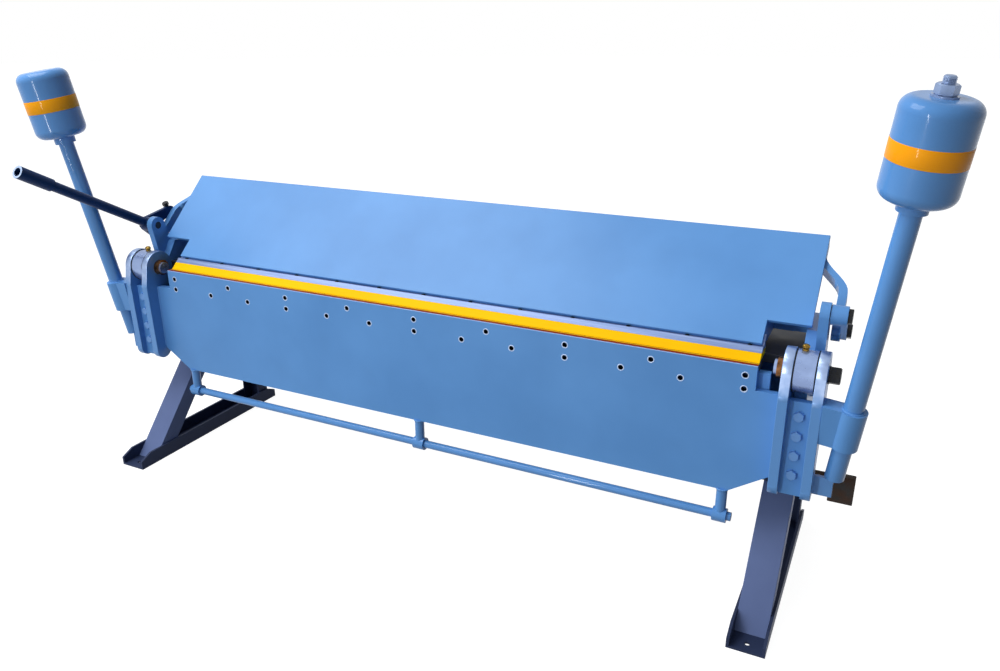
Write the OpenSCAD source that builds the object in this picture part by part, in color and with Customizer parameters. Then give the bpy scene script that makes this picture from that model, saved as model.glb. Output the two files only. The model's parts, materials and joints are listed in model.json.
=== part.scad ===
// Hand-operated sheet metal folder on two channel stands.
// X runs along the bending edge, -Y is the operator's side, Z is up from the floor.
// The origin lies on the floor in the middle of the four floor bolts.

/* [Overall] */
// Length of the bending edge
blade_len = 2050; // [1700:10:2400]
// Height of the hinge line above the floor
hinge_z = 700; // [680:5:760]
// Hinge line ahead of the middle of the floor bolts
hinge_ahead = 120; // [110:1:130]

/* [Folding leaf] */
// Thickness of the leaf plate
leaf_t = 20; // [16:1:22]
// Depth of the leaf below the hinge line
leaf_drop = 372; // [340:2:390]
// Gap behind the leaf, to the hinge line
leaf_back = 2; // [1:0.5:4]
// Depth of the notch at each end of the leaf
leaf_notch = 67; // [50:1:80]
// Height of the chamfer at each lower corner
leaf_chamfer = 70; // [60:1:110]
// Radius of the accessory holes
leaf_hole_r = 7.5; // [5:0.5:9]
// Spacing between the columns of paired holes
leaf_hole_pitch = 498; // [440:1:500]
// Depth of the upper row of holes
leaf_hole_top = 29; // [22:1:34]
// Distance between the two rows of holes
leaf_hole_rows = 38; // [30:1:44]

/* [Cheeks] */
// Distance from the bending edge's end to the inner cheek
cheek_gap = 61; // [55:1:70]
// Thickness of a cheek
cheek_t = 25; // [20:1:30]
// Space between the two cheeks of an end
cheek_space = 56; // [52:1:64]
// Radius of the cheek's head
cheek_head_r = 58; // [55:1:62]
// Radius of the cheek's lower end
cheek_foot_r = 31; // [28:1:36]
// Distance that the cheek's lower end stands forward
cheek_foot_fwd = 33; // [30:1:38]
// Depth of the cheek's lower end below the hinge line
cheek_foot_drop = 307; // [290:1:315]
// How far the cheek's knee stands ahead of the hinge line
cheek_knee_fwd = 38; // [34:1:42]
// How far the knee lies below the hinge line
cheek_knee_drop = 60; // [56:1:66]
// Radius of the knee
cheek_knee_r = 32; // [30:0.5:34]
// Thickness of the web between the cheeks
web_t = 20; // [14:1:22]
// Gap from the hinge line to the top of the web
web_top = 67; // [64:1:72]
// Height of the web
web_h = 264; // [250:1:266]
// From the web's top to its first bolt
web_bolt_first = 39; // [36:1:44]
// Pitch of the web bolts
web_bolt_pitch = 55; // [50:1:58]
// Radius of the web bolts
web_bolt_r = 8; // [6:0.5:9]
// Width across flats of the web bolts
web_bolt_af = 24; // [22:1:26]
// Height of the web bolts' heads
web_bolt_head = 10; // [8:0.5:12]

/* [Hinge] */
// Radius of the hinge pins
pin_r = 20; // [16:0.5:22]
// Length of pin that shows inside the inner cheek
pin_proud = 24; // [18:1:30]
// Wall of the bronze hinge bush
bush_wall = 6; // [4:0.5:8]
// Width of the bronze collar on the pin
collar_w = 16; // [10:1:18]
// Wall of the bronze collar
collar_wall = 7; // [4:0.5:7]
// Width across flats of the hinge bolts
hinge_bolt_af = 40; // [34:1:42]
// Height of the hinge bolts' heads
hinge_bolt_head = 29; // [20:1:30]
// Side play between hub and cheek
side_play = 0.5; // [0.3:0.1:1]
// Running clearance of pins in their bushes
run_fit = 0.05; // [0.02:0.01:0.09]
// Clearance of pieces that are fixed in their holes
still_fit = 0.02; // [0.01:0.01:0.05]

/* [Counterweights] */
// Radius of the weight arms
arm_r = 24.15; // [21:0.05:26]
// Lean of the arms towards the operator, in degrees
arm_fwd = 7.2; // [6:0.1:8]
// Lean of the arms outwards, in degrees
arm_out = 6; // [5:0.1:7]
// Distance from the outer cheek to the arm's lower end
arm_off = 48; // [46:1:52]
// Distance from the arm's lower end to the middle of the weight
arm_reach = 846; // [780:2:880]
// Radius of a weight
weight_r = 81; // [70:1:95]
// Height of a weight
weight_h = 218; // [200:2:260]
// Rounding of a weight's edges
weight_round = 28; // [10:1:34]
// Radius of the collar under a weight
weight_collar_r = 33.5; // [30:0.5:38]
// Height of the collar under a weight
weight_collar_h = 22; // [16:1:26]
// Radius of the arm's socket
socket_r = 34; // [30:1:36]
// Length of the arm's socket
socket_h = 107; // [90:1:112]
// Radius of the threaded stud on the right weight
stud_r = 13.5; // [12:0.5:15]
// Length of stud above its nut
stud_proud = 16; // [12:1:24]
// Width across flats of the stud's nut
stud_nut_af = 41; // [38:1:46]
// Height of the stud's nut
stud_nut_h = 22; // [18:1:26]
// Radius of the stud's washer
stud_washer_r = 27; // [26:0.5:32]
// Thickness of the stud's washer
stud_washer_t = 4; // [3:0.5:6]

/* [Truss] */
// Radius of the truss rod
truss_r = 12.5; // [9:0.5:13]
// Depth of the truss rod below the leaf
truss_drop = 84; // [70:1:90]
// Distance from the end of the bending edge to the end posts
truss_inset = 60; // [58:1:90]
// Radius of a truss post
post_r = 15; // [11:0.5:16]
// Radius of a post's eye
post_eye_r = 20.5; // [18:0.5:24]
// Width of a post's eye
post_eye_w = 38; // [30:1:44]
// Length of rod beyond the end posts
truss_proud = 12; // [5:1:20]

/* [Clamp beam] */
// Distance of the blade's tip behind the hinge line
nose_back = 1; // [1:0.5:4]
// Gap under the clamp blade
nose_gap = 1.5; // [1:0.1:3]
// Depth of the blade from front to back
nose_depth = 74; // [70:1:80]
// Height of the yellow bevel
nose_h = 18.5; // [16:0.5:20]
// Run of the yellow bevel
nose_run = 21; // [19:0.5:23]
// Height of the blade holder above the blade
holder_h = 13; // [10:0.5:13]
// Thickness of the sloped plate
slope_t = 12; // [10:0.5:14]
// Front lower edge of the sloped plate behind the hinge line
slope_y = 41; // [40:0.5:43]
// Front lower edge of the sloped plate above the hinge line
slope_z = 40; // [39:0.5:42]
// Angle of the sloped plate, in degrees
slope_angle = 43.2; // [42:0.1:44]
// Width of the sloped plate up its slope
slope_w = 353; // [345:1:360]
// Length of the sloped plate beyond each end of the edge
slope_over = 106; // [102:1:108]
// Height of the corner notches up the slope
slope_notch = 71; // [60:1:80]
// Shortening of the lower edge at each end
slope_short = 5; // [0:1:10]
// Overhang of the beam's back plate past the beam's end ribs
back_reach = 55; // [40:1:60]
// Thickness of the beam's sole, back and ribs
beam_t = 12; // [8:1:14]
// Back of the beam behind the hinge line
beam_back_y = 230; // [210:1:240]
// Pitch of the beam's ribs
rib_pitch = 400; // [300:10:450]

/* [Lift linkage] */
// Pivot of the cranks behind the hinge line
pivot_y = 75; // [73:0.5:77]
// Pivot of the cranks above the hinge line
pivot_z = 132; // [130:0.5:134]
// Radius of the pivot bolts
pivot_r = 13; // [10:0.5:14]
// Radius of the crank's boss
boss_r = 26; // [23:0.5:28]
// Crank pin behind its pivot
crank_dy = 60; // [58:0.5:61]
// Crank pin below its pivot
crank_dz = 58; // [57:0.5:59]
// Turn of the lever from clamped to open, in degrees
lever_turn = 20; // [16:1:21]
// Radius of the crank pins
crank_pin_r = 14; // [12:0.5:15]
// Thickness of the crank plate
crank_t = 14; // [10:0.5:16]
// Play above the crank pin in the lift arm's slot
slot_over = 0.3; // [0.3:0.1:0.6]
// Play below the crank pin in the lift arm's slot
slot_under = 2.3; // [2.1:0.1:3]
// Wall of the lift arm round its slot
slot_wall = 13.7; // [10:0.1:15]
// Thickness of a lift arm
lift_t = 22; // [18:0.5:22]
// Width of a lift arm
lift_w = 45; // [38:1:48]
// Radius of the handle tube
handle_r = 16.85; // [14:0.05:18]
// Wall of the handle tube
handle_wall = 3.2; // [2:0.1:4]
// Angle of the handle above level, in degrees
handle_angle = 29.3; // [27:0.1:31]
// Reach of the handle from the pivot
handle_reach = 534; // [480:1:560]
// Length of the grip sleeve
grip_len = 120; // [90:1:140]
// Wall of the grip sleeve
grip_wall = 4.1; // [3:0.1:5]
// Radius of the adjusting bolt
adjust_r = 7; // [6:0.5:8]

/* [Bed and side frames] */
// Thickness of the bed table
bed_t = 25; // [20:1:30]
// Depth of the bed table
bed_depth = 298; // [260:1:300]
// Thickness of the bed's plates
bed_plate_t = 20; // [14:1:22]
// Height of the bed's front plate
bed_front_h = 245; // [200:1:260]
// Gap between the leaf's hinge line and the bed
bed_gap = 2; // [1:0.5:4]
// Thickness of a side frame
side_t = 30; // [24:1:32]
// Depth of the side frames below the hinge line
side_drop = 370; // [360:1:380]
// Height of the side frame above the hinge line
side_top = 70; // [60:1:80]
// Thickness of an upright
upright_t = 24; // [20:1:24]

/* [Stands] */
// Middle of a stand beyond the end of the bending edge
stand_off = 75; // [70:1:80]
// Width of the base channel
base_w = 100; // [96:1:120]
// Height of the base channel
base_h = 50; // [40:1:60]
// Thickness of the base channel's web
base_web = 7; // [5:0.5:9]
// Thickness of the base channel's flanges
base_flange = 8; // [6:0.5:10]
// Spacing of the floor bolts along a stand
floor_pitch = 660; // [640:2:700]
// Distance from the floor bolt to the channel's end
floor_edge = 30; // [22:1:40]
// Radius of the floor bolt holes
floor_hole_r = 7; // [5:0.5:9]
// Height of the channel's flange at its cut ends
base_end_h = 30; // [20:1:36]
// Length of the cut at each end of the channel
base_end_cut = 45; // [30:1:60]
// Front face of the front leg at the floor, from the front floor bolt
leg_foot = 30; // [24:1:40]
// Lean of the front leg, in degrees
leg_lean = 41; // [38:0.5:42]
// Depth of a leg along the stand
leg_d = 80; // [70:1:90]
// Wall of a leg's sides
leg_wall = 6; // [5:0.5:8]
// Depth of the rear leg along the stand
rear_d = 60; // [50:1:70]
// Thickness of the stand's cap plate
cap_t = 12; // [8:1:14]

/* [Stop] */
// Width of the stop block
stop_w = 64; // [50:1:70]
// Height of the stop block
stop_h = 80; // [60:1:90]
// Distance of the stop block from the side frame
stop_off = 78; // [70:1:86]
// Thickness of the stop block
stop_t = 25; // [18:1:30]
// Thickness of the stop's bracket
stop_bracket_t = 12; // [8:1:14]

/* [Hidden] */
$fn = 64;
far = 400;
steps = 10;

// Stations along X, from the middle of the machine
half = blade_len / 2;
x_in = half + cheek_gap;
x_hub0 = x_in + cheek_t;
x_hub1 = x_hub0 + cheek_space;
x_out = x_hub1 + cheek_t;
x_mid = (x_hub0 + x_hub1) / 2;
side_in = 7;
x_side0 = x_hub0 + side_in;
x_side1 = x_side0 + side_t;
x_up = x_side1 + upright_t;
crank_play = 2;
x_boss0 = x_up + crank_play;
lift_gap = 5;
x_lift = x_up + lift_gap;
lift_play = 1;
x_crank0 = x_lift + lift_t + lift_play;
x_crank1 = x_crank0 + crank_t;
x_stand = half + stand_off;
slope_half = half + slope_over;

// The leaf and its fittings
leaf_y = -leaf_back - leaf_t;
leaf_side_h = leaf_drop - leaf_chamfer;
web_y = leaf_y - web_t;
cheek_foot = [-cheek_foot_fwd, -cheek_foot_drop];
cheek_knee = [-cheek_knee_fwd, -cheek_knee_drop];
hub_step = 3;
hub_r = cheek_head_r - hub_step;
arm_x = x_out + arm_off;
arm_y = -26;
arm_z = -262;
socket_s = 98;
socket_block = 48;
tab_t = 12;
tab_h = 53;
tab_gap = 5;
truss_z = -leaf_drop - truss_drop;
truss_y = leaf_y + leaf_t / 2;
truss_x = half - truss_inset;

// The clamp beam
nose_y = nose_back + nose_run;
nose_z = nose_gap + nose_h;
nose_end = nose_back + nose_depth;
edge_y = slope_y + slope_t * sin(slope_angle);
edge_z = slope_z - slope_t * cos(slope_angle);
holder_lip = 6;

// The lift linkage
crank_len = norm([crank_dy, crank_dz]);
crank_a = atan2(-crank_dz, crank_dy);
crank_y = pivot_y + crank_dy;
crank_z = pivot_z - crank_dz;
slot_r = crank_pin_r + (slot_over + slot_under) / 2;
slot_z = crank_z + (slot_over - slot_under) / 2;
slot_end = pivot_y + crank_len * cos(crank_a + lever_turn);
lift_start = 92;
lift_bend0 = 190;
lift_bend1 = 300;
lift_shift = x_lift - slope_half + lift_t + 2;
horn_y = 115;
horn_z = 30;
horn_r = 16;
horn_t = 24;
adjust_a = 115;
adjust_in = 30;
adjust_out = 22;
bolt_head = 11;

// The fixed frame
bed_end_y = 80;
bed_front_y = 4;
bed_front_half = half + 30;
bed_rear_y = 210;
bed_floor_z = -bed_t - bed_front_h;
cap_z = hinge_z - side_drop;
leg_top = cap_z - cap_t;
front_bolt_y = -floor_pitch / 2;
rear_bolt_y = floor_pitch / 2;
base_y0 = front_bolt_y - floor_edge;
base_y1 = rear_bolt_y + floor_edge;
leg_w = base_w - 2 * base_flange;
leg_y = front_bolt_y + leg_foot;
rear_y1 = rear_bolt_y;
cap_y0 = lean(leg_y, leg_top)[0] + hinge_ahead;
cap_y1 = 455;
upright_foot = [125, -70];
upright_foot_r = 45;
upright_eye_r = 30;
cheek_clear = 4;
side_front = 8;
side_rear = 315;
side_chin = 230;
side_waist = 245;
side_top_y0 = 114;
side_top_y1 = 268;
side_neck = 10;
side_neck_y = cheek_head_r;
stop_x = x_side1 + stop_off;
stop_y = 90;
stop_drop = 400;
stop_z = -stop_drop;

blue = "#4f86b5";
dark_blue = "#2f4a6b";
slate = "#3c4854";
steel = "#8f9aa3";
yellow = "#e0a526";
black = "#222222";
bronze = "#b07a46";

function under(y) = edge_z + (y - edge_y) * tan(slope_angle);
function hex_r(af) = af / sqrt(3);
function s_bend(s) = (1 + cos(180 * (s - lift_bend0) / (lift_bend1 - lift_bend0))) / 2;

// Place pieces about the hinge line
module at_hinge() { translate([0, -hinge_ahead, hinge_z]) children(); }
module left() { mirror([1, 0, 0]) children(); }
module both() { children(); left() children(); }
module on_slope() { translate([0, slope_y, slope_z]) rotate([slope_angle, 0, 0]) children(); }
module on_arm() { translate([arm_x, arm_y, arm_z]) rotate([arm_fwd, arm_out, 0]) children(); }

// A Y-Z outline made t thick from x
module slab_x(x, t) { translate([x, 0, 0]) rotate([90, 0, 90]) linear_extrude(t) children(); }
// An X-Z outline made t thick from y
module slab_y(y, t) { translate([0, y + t, 0]) rotate([90, 0, 0]) linear_extrude(t) children(); }
// A round bar along X
module bar_x(x0, x1, r, y = 0, z = 0) {
    translate([x0, y, z]) rotate([0, 90, 0]) cylinder(h = x1 - x0, r = r);
}
// A hexagonal head along X
module hex_x(x0, x1, af, y = 0, z = 0) {
    translate([x0, y, z]) rotate([0, 90, 0]) cylinder(h = x1 - x0, r = hex_r(af), $fn = 6);
}
// Two round ends joined by straight flanks, t thick from x. The flanks lie a hair inside
// the outer tangents, so that they cut the round ends cleanly.
flank = 0.997;
module link_x(x, t, p, rp, q, rq) {
    a = atan2(q[1] - p[1], q[0] - p[0]);
    b = acos((rp - rq) / norm(q - p));
    union() {
        bar_x(x, x + t, rp, p[0], p[1]);
        bar_x(x, x + t, rq, q[0], q[1]);
        slab_x(x, t) polygon([for (c = [[p, rp, 1], [q, rq, 1], [q, rq, -1], [p, rp, -1]])
            c[0] + flank * c[1] * [cos(a + c[2] * b), sin(a + c[2] * b)]]);
    }
}

// Stands
module base() {
    color(slate) translate([x_stand, 0, 0]) difference() {
        slab_x(-base_w / 2, base_w) polygon([[base_y0, 0], [base_y1, 0], [base_y1, base_end_h],
            [base_y1 - base_end_cut, base_h], [base_y0 + base_end_cut, base_h], [base_y0, base_end_h]]);
        translate([-leg_w / 2, base_y0 - 1, base_web]) cube([leg_w, base_y1 - base_y0 + 2, base_h]);
        for (y = [front_bolt_y, rear_bolt_y])
            translate([0, y, -1]) cylinder(h = base_web + 2, r = floor_hole_r);
    }
}
function lean(y, z) = [y + z * tan(leg_lean), z];
module front_leg() {
    color(slate) translate([x_stand, 0, 0]) difference() {
        slab_x(-leg_w / 2, leg_w) polygon([lean(leg_y, base_web), lean(leg_y + leg_d, base_web),
            lean(leg_y + leg_d, leg_top), lean(leg_y, leg_top)]);
        slab_x(-leg_w / 2 + leg_wall, leg_w - 2 * leg_wall) polygon([lean(leg_y + base_flange, 0),
            lean(leg_y + leg_d + 1, 0), lean(leg_y + leg_d + 1, cap_z), lean(leg_y + base_flange, cap_z)]);
    }
}
module rear_leg() {
    color(slate) translate([x_stand, rear_y1 - rear_d, base_web]) difference() {
        translate([-leg_w / 2, 0, 0]) cube([leg_w, rear_d - leg_wall, leg_top - base_web]);
        translate([-leg_w / 2 + leg_wall, -1, -1])
            cube([leg_w - 2 * leg_wall, rear_d - 3 * leg_wall + 1, leg_top]);
    }
}
module stand_caps() {
    color(slate) both() translate([x_side1 - base_w, cap_y0 - hinge_ahead, leg_top])
        cube([base_w, cap_y1 - cap_y0, cap_t]);
}

// Side frames, hubs and uprights
module side_frame() {
    color(blue) at_hinge() difference() {
        slab_x(x_side0, side_t) polygon([[cap_y0, -side_drop], [side_rear, -side_drop],
            [side_rear, -side_waist], [side_top_y1, side_top], [side_top_y0, side_top],
            [side_neck_y, -side_neck], [side_front, -cheek_head_r], [side_front, -side_chin]]);
        bar_x(x_hub0, x_hub1, hub_r);
    }
}
module upright() {
    color(blue) at_hinge() difference() {
        link_x(x_side1, upright_t, [pivot_y, pivot_z], upright_eye_r, upright_foot, upright_foot_r);
        bar_x(x_side1 - 1, x_up + 1, cheek_head_r + cheek_clear);
        bar_x(x_side1 - 1, x_up + 1, pivot_r + still_fit, pivot_y, pivot_z);
    }
}
oiler_r = 6;
oiler_h = 7;
oiler_stem_r = 3;
oiler_stem_h = 8;
oiler_x = x_mid - 8;
module hinge_hub() {
    color(steel) at_hinge() difference() {
        bar_x(x_hub0 + side_play, x_hub1 - side_play, hub_r);
        bar_x(x_hub0, x_hub1, pin_r + run_fit + bush_wall + still_fit);
        translate([oiler_x, 0, hub_r - oiler_stem_h]) cylinder(h = far, r = oiler_stem_r + still_fit);
    }
}
module hinge_bushes() {
    color(bronze) at_hinge() both() difference() {
        bar_x(x_hub0 + side_play, x_hub1 - side_play, pin_r + run_fit + bush_wall);
        bar_x(x_hub0, x_hub1, pin_r + run_fit);
    }
}
module hub_oilers() {
    color("#c9a14a") at_hinge() both() translate([oiler_x, 0, hub_r]) {
        translate([0, 0, -oiler_stem_h]) cylinder(h = oiler_stem_h, r = oiler_stem_r);
        cylinder(h = oiler_h, r = oiler_r);
        translate([0, 0, oiler_h]) sphere(oiler_r - 1);
    }
}

// Bed
module bed_table() {
    color(blue) at_hinge() translate([0, 0, -bed_t]) linear_extrude(bed_t)
        polygon([[-half, bed_gap], [half, bed_gap], [half, bed_end_y], [x_side0, bed_end_y],
            [x_side0, bed_gap + bed_depth], [-x_side0, bed_gap + bed_depth], [-x_side0, bed_end_y],
            [-half, bed_end_y]]);
}
module bed_front_plate() {
    color(blue) at_hinge() translate([-bed_front_half, bed_front_y, bed_floor_z])
        cube([2 * bed_front_half, bed_plate_t, bed_front_h]);
}
module bed_rear_plate() {
    color(blue) at_hinge() translate([-x_side0, bed_rear_y, bed_floor_z])
        cube([2 * x_side0, bed_plate_t, bed_front_h]);
}
module bed_bottom_plate() {
    color(blue) at_hinge() translate([-bed_front_half, bed_front_y, bed_floor_z - bed_plate_t])
        cube([2 * bed_front_half, bed_rear_y + bed_plate_t - bed_front_y, bed_plate_t]);
}

// Stop at the right end
module stop_bracket() {
    color(black) at_hinge() translate([x_side1, stop_y + stop_t, stop_z + stop_bracket_t])
        cube([stop_x + stop_w - x_side1, stop_bracket_t, stop_h - 2 * stop_bracket_t]);
}
module stop_block() {
    color("#3a2f28") at_hinge() translate([stop_x, stop_y, stop_z]) cube([stop_w, stop_t, stop_h]);
}

// Folding leaf
// Hole columns: a pair at each whole pitch, and a zigzag of three in each bay
bay = leaf_hole_pitch / 6;
leaf_holes = concat(
    [for (i = [-2:2], r = [0, 1]) [i * leaf_hole_pitch, -leaf_hole_top - r * leaf_hole_rows]],
    [for (i = [-2:1], k = [-1:1])
        [(i + 0.5) * leaf_hole_pitch + k * bay, -leaf_hole_top - abs(k) * leaf_hole_rows]]);
module leaf_plate() {
    color(blue) at_hinge() slab_y(leaf_y, leaf_t) difference() {
        polygon([[-half, 0], [half, 0], [half, -leaf_notch], [x_in, -leaf_notch], [x_in, -leaf_side_h],
            [truss_x + post_r, -leaf_drop], [-truss_x - post_r, -leaf_drop], [-x_in, -leaf_side_h],
            [-x_in, -leaf_notch], [-half, -leaf_notch]]);
        for (p = leaf_holes) translate(p) circle(leaf_hole_r);
    }
}
module cheek(x) {
    difference() {
        union() {
            link_x(x, cheek_t, [0, 0], cheek_head_r, cheek_foot, cheek_foot_r);
            link_x(x, cheek_t, [0, 0], cheek_head_r, cheek_knee, cheek_knee_r);
            link_x(x, cheek_t, cheek_knee, cheek_knee_r, cheek_foot, cheek_foot_r);
        }
        bar_x(x - 1, x + cheek_t + 1, pin_r + still_fit);
    }
}
module cheek_inner() { color(steel) at_hinge() cheek(x_in); }
module cheek_outer() {
    color(steel) at_hinge() {
        cheek(x_hub1);
        translate([x_out, arm_y - tab_t / 2, arm_z - tab_gap - tab_h]) cube([arm_off, tab_t, tab_h]);
    }
}
hinge_washer_t = 4;
hinge_washer_r = hinge_bolt_af / 2 + 3;
web_bolt_z = [for (i = [0:3]) -web_top - web_bolt_first - i * web_bolt_pitch];
module cheek_web() {
    color(blue) at_hinge() difference() {
        translate([x_hub0, web_y, -web_top - web_h]) cube([cheek_space, web_t, web_h]);
        for (z = web_bolt_z) translate([x_mid, web_y - 1, z]) rotate([-90, 0, 0])
            cylinder(h = web_t + 2, r = web_bolt_r + still_fit);
    }
}
module web_bolts() {
    color(black) at_hinge() both() for (z = web_bolt_z) translate([x_mid, web_y, z]) rotate([-90, 0, 0]) {
        cylinder(h = web_t, r = web_bolt_r);
        translate([0, 0, -web_bolt_head]) cylinder(h = web_bolt_head, r = hex_r(web_bolt_af), $fn = 6);
    }
}
module hinge_pins() { color(steel) at_hinge() both() bar_x(x_in - pin_proud, x_out, pin_r); }
module pin_collars() {
    color(bronze) at_hinge() both() difference() {
        bar_x(x_in - collar_w, x_in, pin_r + collar_wall);
        bar_x(x_in - collar_w - 1, x_in + 1, pin_r + still_fit);
    }
}
module hinge_bolts() {
    color(black) at_hinge() both() {
        bar_x(x_out, x_out + hinge_washer_t, hinge_washer_r);
        hex_x(x_out + hinge_washer_t, x_out + hinge_bolt_head, hinge_bolt_af);
    }
}

// Counterweights
module arm_socket() {
    color(blue) at_hinge() difference() {
        on_arm() translate([0, 0, socket_s]) difference() {
            union() {
                cylinder(h = socket_h, r = socket_r);
                translate([-far, -socket_block / 2, 0]) cube([far, socket_block, socket_h]);
            }
            translate([0, 0, -1]) cylinder(h = socket_h + 2, r = arm_r + still_fit);
        }
        translate([x_out - 2 * far, -far, -far]) cube([2 * far, 2 * far, 2 * far]);
    }
}
module weight_arm() {
    color(blue) at_hinge() on_arm() cylinder(h = arm_reach - weight_h / 2, r = arm_r);
}
module weight() {
    round_r = min(weight_round, weight_h / 2 - 1);
    color(dark_blue) at_hinge() on_arm() translate([0, 0, arm_reach - weight_h / 2]) rotate_extrude() {
        square([weight_r - round_r, weight_h]);
        translate([0, round_r]) square([weight_r, weight_h - 2 * round_r]);
        intersection() {
            union() for (z = [round_r, weight_h - round_r])
                translate([weight_r - round_r, z]) circle(round_r);
            square([weight_r, weight_h]);
        }
    }
}
module weight_collars() {
    color(steel) at_hinge() both() on_arm() translate([0, 0, arm_reach - weight_h / 2 - weight_collar_h])
        difference() {
            cylinder(h = weight_collar_h, r = weight_collar_r);
            translate([0, 0, -1]) cylinder(h = weight_collar_h + 2, r = arm_r + still_fit);
        }
}
module on_weight() { on_arm() translate([0, 0, arm_reach + weight_h / 2]) children(); }
module weight_washer() {
    color(steel) at_hinge() on_weight() difference() {
        cylinder(h = stud_washer_t, r = stud_washer_r);
        translate([0, 0, -1]) cylinder(h = stud_washer_t + 2, r = stud_r + still_fit);
    }
}
module weight_nut() {
    color(steel) at_hinge() on_weight() translate([0, 0, stud_washer_t]) difference() {
        cylinder(h = stud_nut_h, r = hex_r(stud_nut_af), $fn = 6);
        translate([0, 0, -1]) cylinder(h = stud_nut_h + 2, r = stud_r + still_fit);
    }
}
module weight_stud() {
    color(steel) at_hinge() on_weight() cylinder(h = stud_washer_t + stud_nut_h + stud_proud, r = stud_r);
}

// Truss under the leaf
module truss_rod() {
    end = truss_x + post_eye_w / 2 + truss_proud;
    color(blue) at_hinge() bar_x(-end, end, truss_r, truss_y, truss_z);
}
module truss_posts() {
    color(blue) at_hinge() for (x = [-truss_x, 0, truss_x]) difference() {
        union() {
            bar_x(x - post_eye_w / 2, x + post_eye_w / 2, post_eye_r, truss_y, truss_z);
            translate([x, truss_y, truss_z]) cylinder(h = truss_drop, r = post_r);
        }
        bar_x(x - post_eye_w, x + post_eye_w, truss_r + still_fit, truss_y, truss_z);
    }
}

// Clamp beam
module nose_blade() {
    color(yellow) at_hinge() slab_x(-half, blade_len)
        polygon([[nose_back, nose_gap], [nose_y, nose_z], [nose_end, nose_z], [nose_end, nose_gap]]);
}
module blade_holder() {
    color(blue) at_hinge() slab_x(-half, blade_len)
        polygon([[nose_y, nose_z], [nose_y + holder_h, nose_z + holder_h],
            [edge_y - holder_lip, edge_z], [edge_y, edge_z], [nose_end, under(nose_end)],
            [nose_end, nose_z]]);
}
module clamp_plate() {
    low = half - slope_short;
    color(blue) at_hinge() on_slope() translate([0, 0, -slope_t]) linear_extrude(slope_t)
        polygon([[-low, 0], [low, 0], [low, slope_notch], [slope_half, slope_notch], [slope_half, slope_w],
            [-slope_half, slope_w], [-slope_half, slope_notch], [-low, slope_notch]]);
}
module beam_sole() {
    color(blue) at_hinge() translate([slope_short - half, nose_end, nose_z])
        cube([blade_len - 2 * slope_short, beam_back_y - nose_end, beam_t]);
}
module beam_back_plate() {
    back_half = half - slope_short + back_reach;
    color(blue) at_hinge() slab_x(-back_half, 2 * back_half)
        polygon([[beam_back_y, nose_z], [beam_back_y + beam_t, nose_z],
            [beam_back_y + beam_t, under(beam_back_y + beam_t)], [beam_back_y, under(beam_back_y)]]);
}
module beam_ribs() {
    top = nose_z + beam_t;
    end = half - slope_short - beam_t / 2;
    color(blue) at_hinge() for (x = concat([for (i = [-2:2]) i * rib_pitch], [-end, end]))
        slab_x(x - beam_t / 2, beam_t) polygon([[nose_end, top], [beam_back_y, top],
            [beam_back_y, under(beam_back_y)], [nose_end, under(nose_end)]]);
}
module lift_arm() {
    function edge_x(s) = x_lift - lift_shift * (1 - s_bend(s));
    bends = [for (i = [0:steps]) lift_bend0 + i * (lift_bend1 - lift_bend0) / steps];
    color(dark_blue) at_hinge() difference() {
        union() {
            on_slope() translate([0, 0, -slope_t - lift_w]) linear_extrude(lift_w)
                polygon(concat([[x_lift, lift_start]], [for (s = bends) [edge_x(s), s]],
                    [[x_lift - lift_shift, slope_w], [x_lift - lift_shift + lift_t, slope_w]],
                    [for (i = [0:steps]) [edge_x(bends[steps - i]) + lift_t, bends[steps - i]]],
                    [[x_lift + lift_t, lift_start]]));
            link_x(x_lift, lift_t, [crank_y, slot_z], slot_r + slot_wall, [slot_end, slot_z],
                slot_r + slot_wall);
        }
        bar_x(x_lift - 1, x_lift + lift_t + 1, slot_r, crank_y, slot_z);
        bar_x(x_lift - 1, x_lift + lift_t + 1, slot_r, slot_end, slot_z);
        translate([x_lift - 1, crank_y, slot_z - slot_r]) cube([lift_t + 2, slot_end - crank_y, 2 * slot_r]);
    }
}

// Lever, cranks and their pivots
crank_eye_r = crank_pin_r + 10;
module crank() {
    difference() {
        union() {
            bar_x(x_boss0, x_crank1, boss_r, pivot_y, pivot_z);
            link_x(x_crank0, crank_t, [pivot_y, pivot_z], boss_r, [crank_y, crank_z], crank_eye_r);
            children();
        }
        bar_x(x_boss0 - 1, x_crank1 + 1, pivot_r + run_fit, pivot_y, pivot_z);
        bar_x(x_crank0 - 1, x_crank1 + 1, crank_pin_r + still_fit, crank_y, crank_z);
    }
}
module on_horn() {
    translate([x_crank0 + horn_t / 2, pivot_y + horn_y, pivot_z + horn_z])
        rotate([adjust_a - 90, 0, 0]) children();
}
module lever_crank() {
    color(blue) at_hinge() left() difference() {
        crank() {
            link_x(x_crank0, crank_t, [pivot_y, pivot_z], boss_r,
                [pivot_y + horn_y, pivot_z + horn_z], horn_r);
            bar_x(x_crank0, x_crank0 + horn_t, horn_r, pivot_y + horn_y, pivot_z + horn_z);
        }
        on_horn() translate([0, 0, -adjust_in]) cylinder(h = 2 * adjust_in, r = adjust_r + still_fit);
    }
}
module right_crank() { color(blue) at_hinge() crank(); }
module crank_pin() {
    color(black) at_hinge() {
        bar_x(x_lift, x_crank1, crank_pin_r, crank_y, crank_z);
        hex_x(x_crank1, x_crank1 + bolt_head, 2 * crank_pin_r + 6, crank_y, crank_z);
    }
}
module on_handle() {
    translate([(x_boss0 + x_crank1) / 2, pivot_y, pivot_z]) rotate([90 - handle_angle, 0, 0]) children();
}
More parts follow.
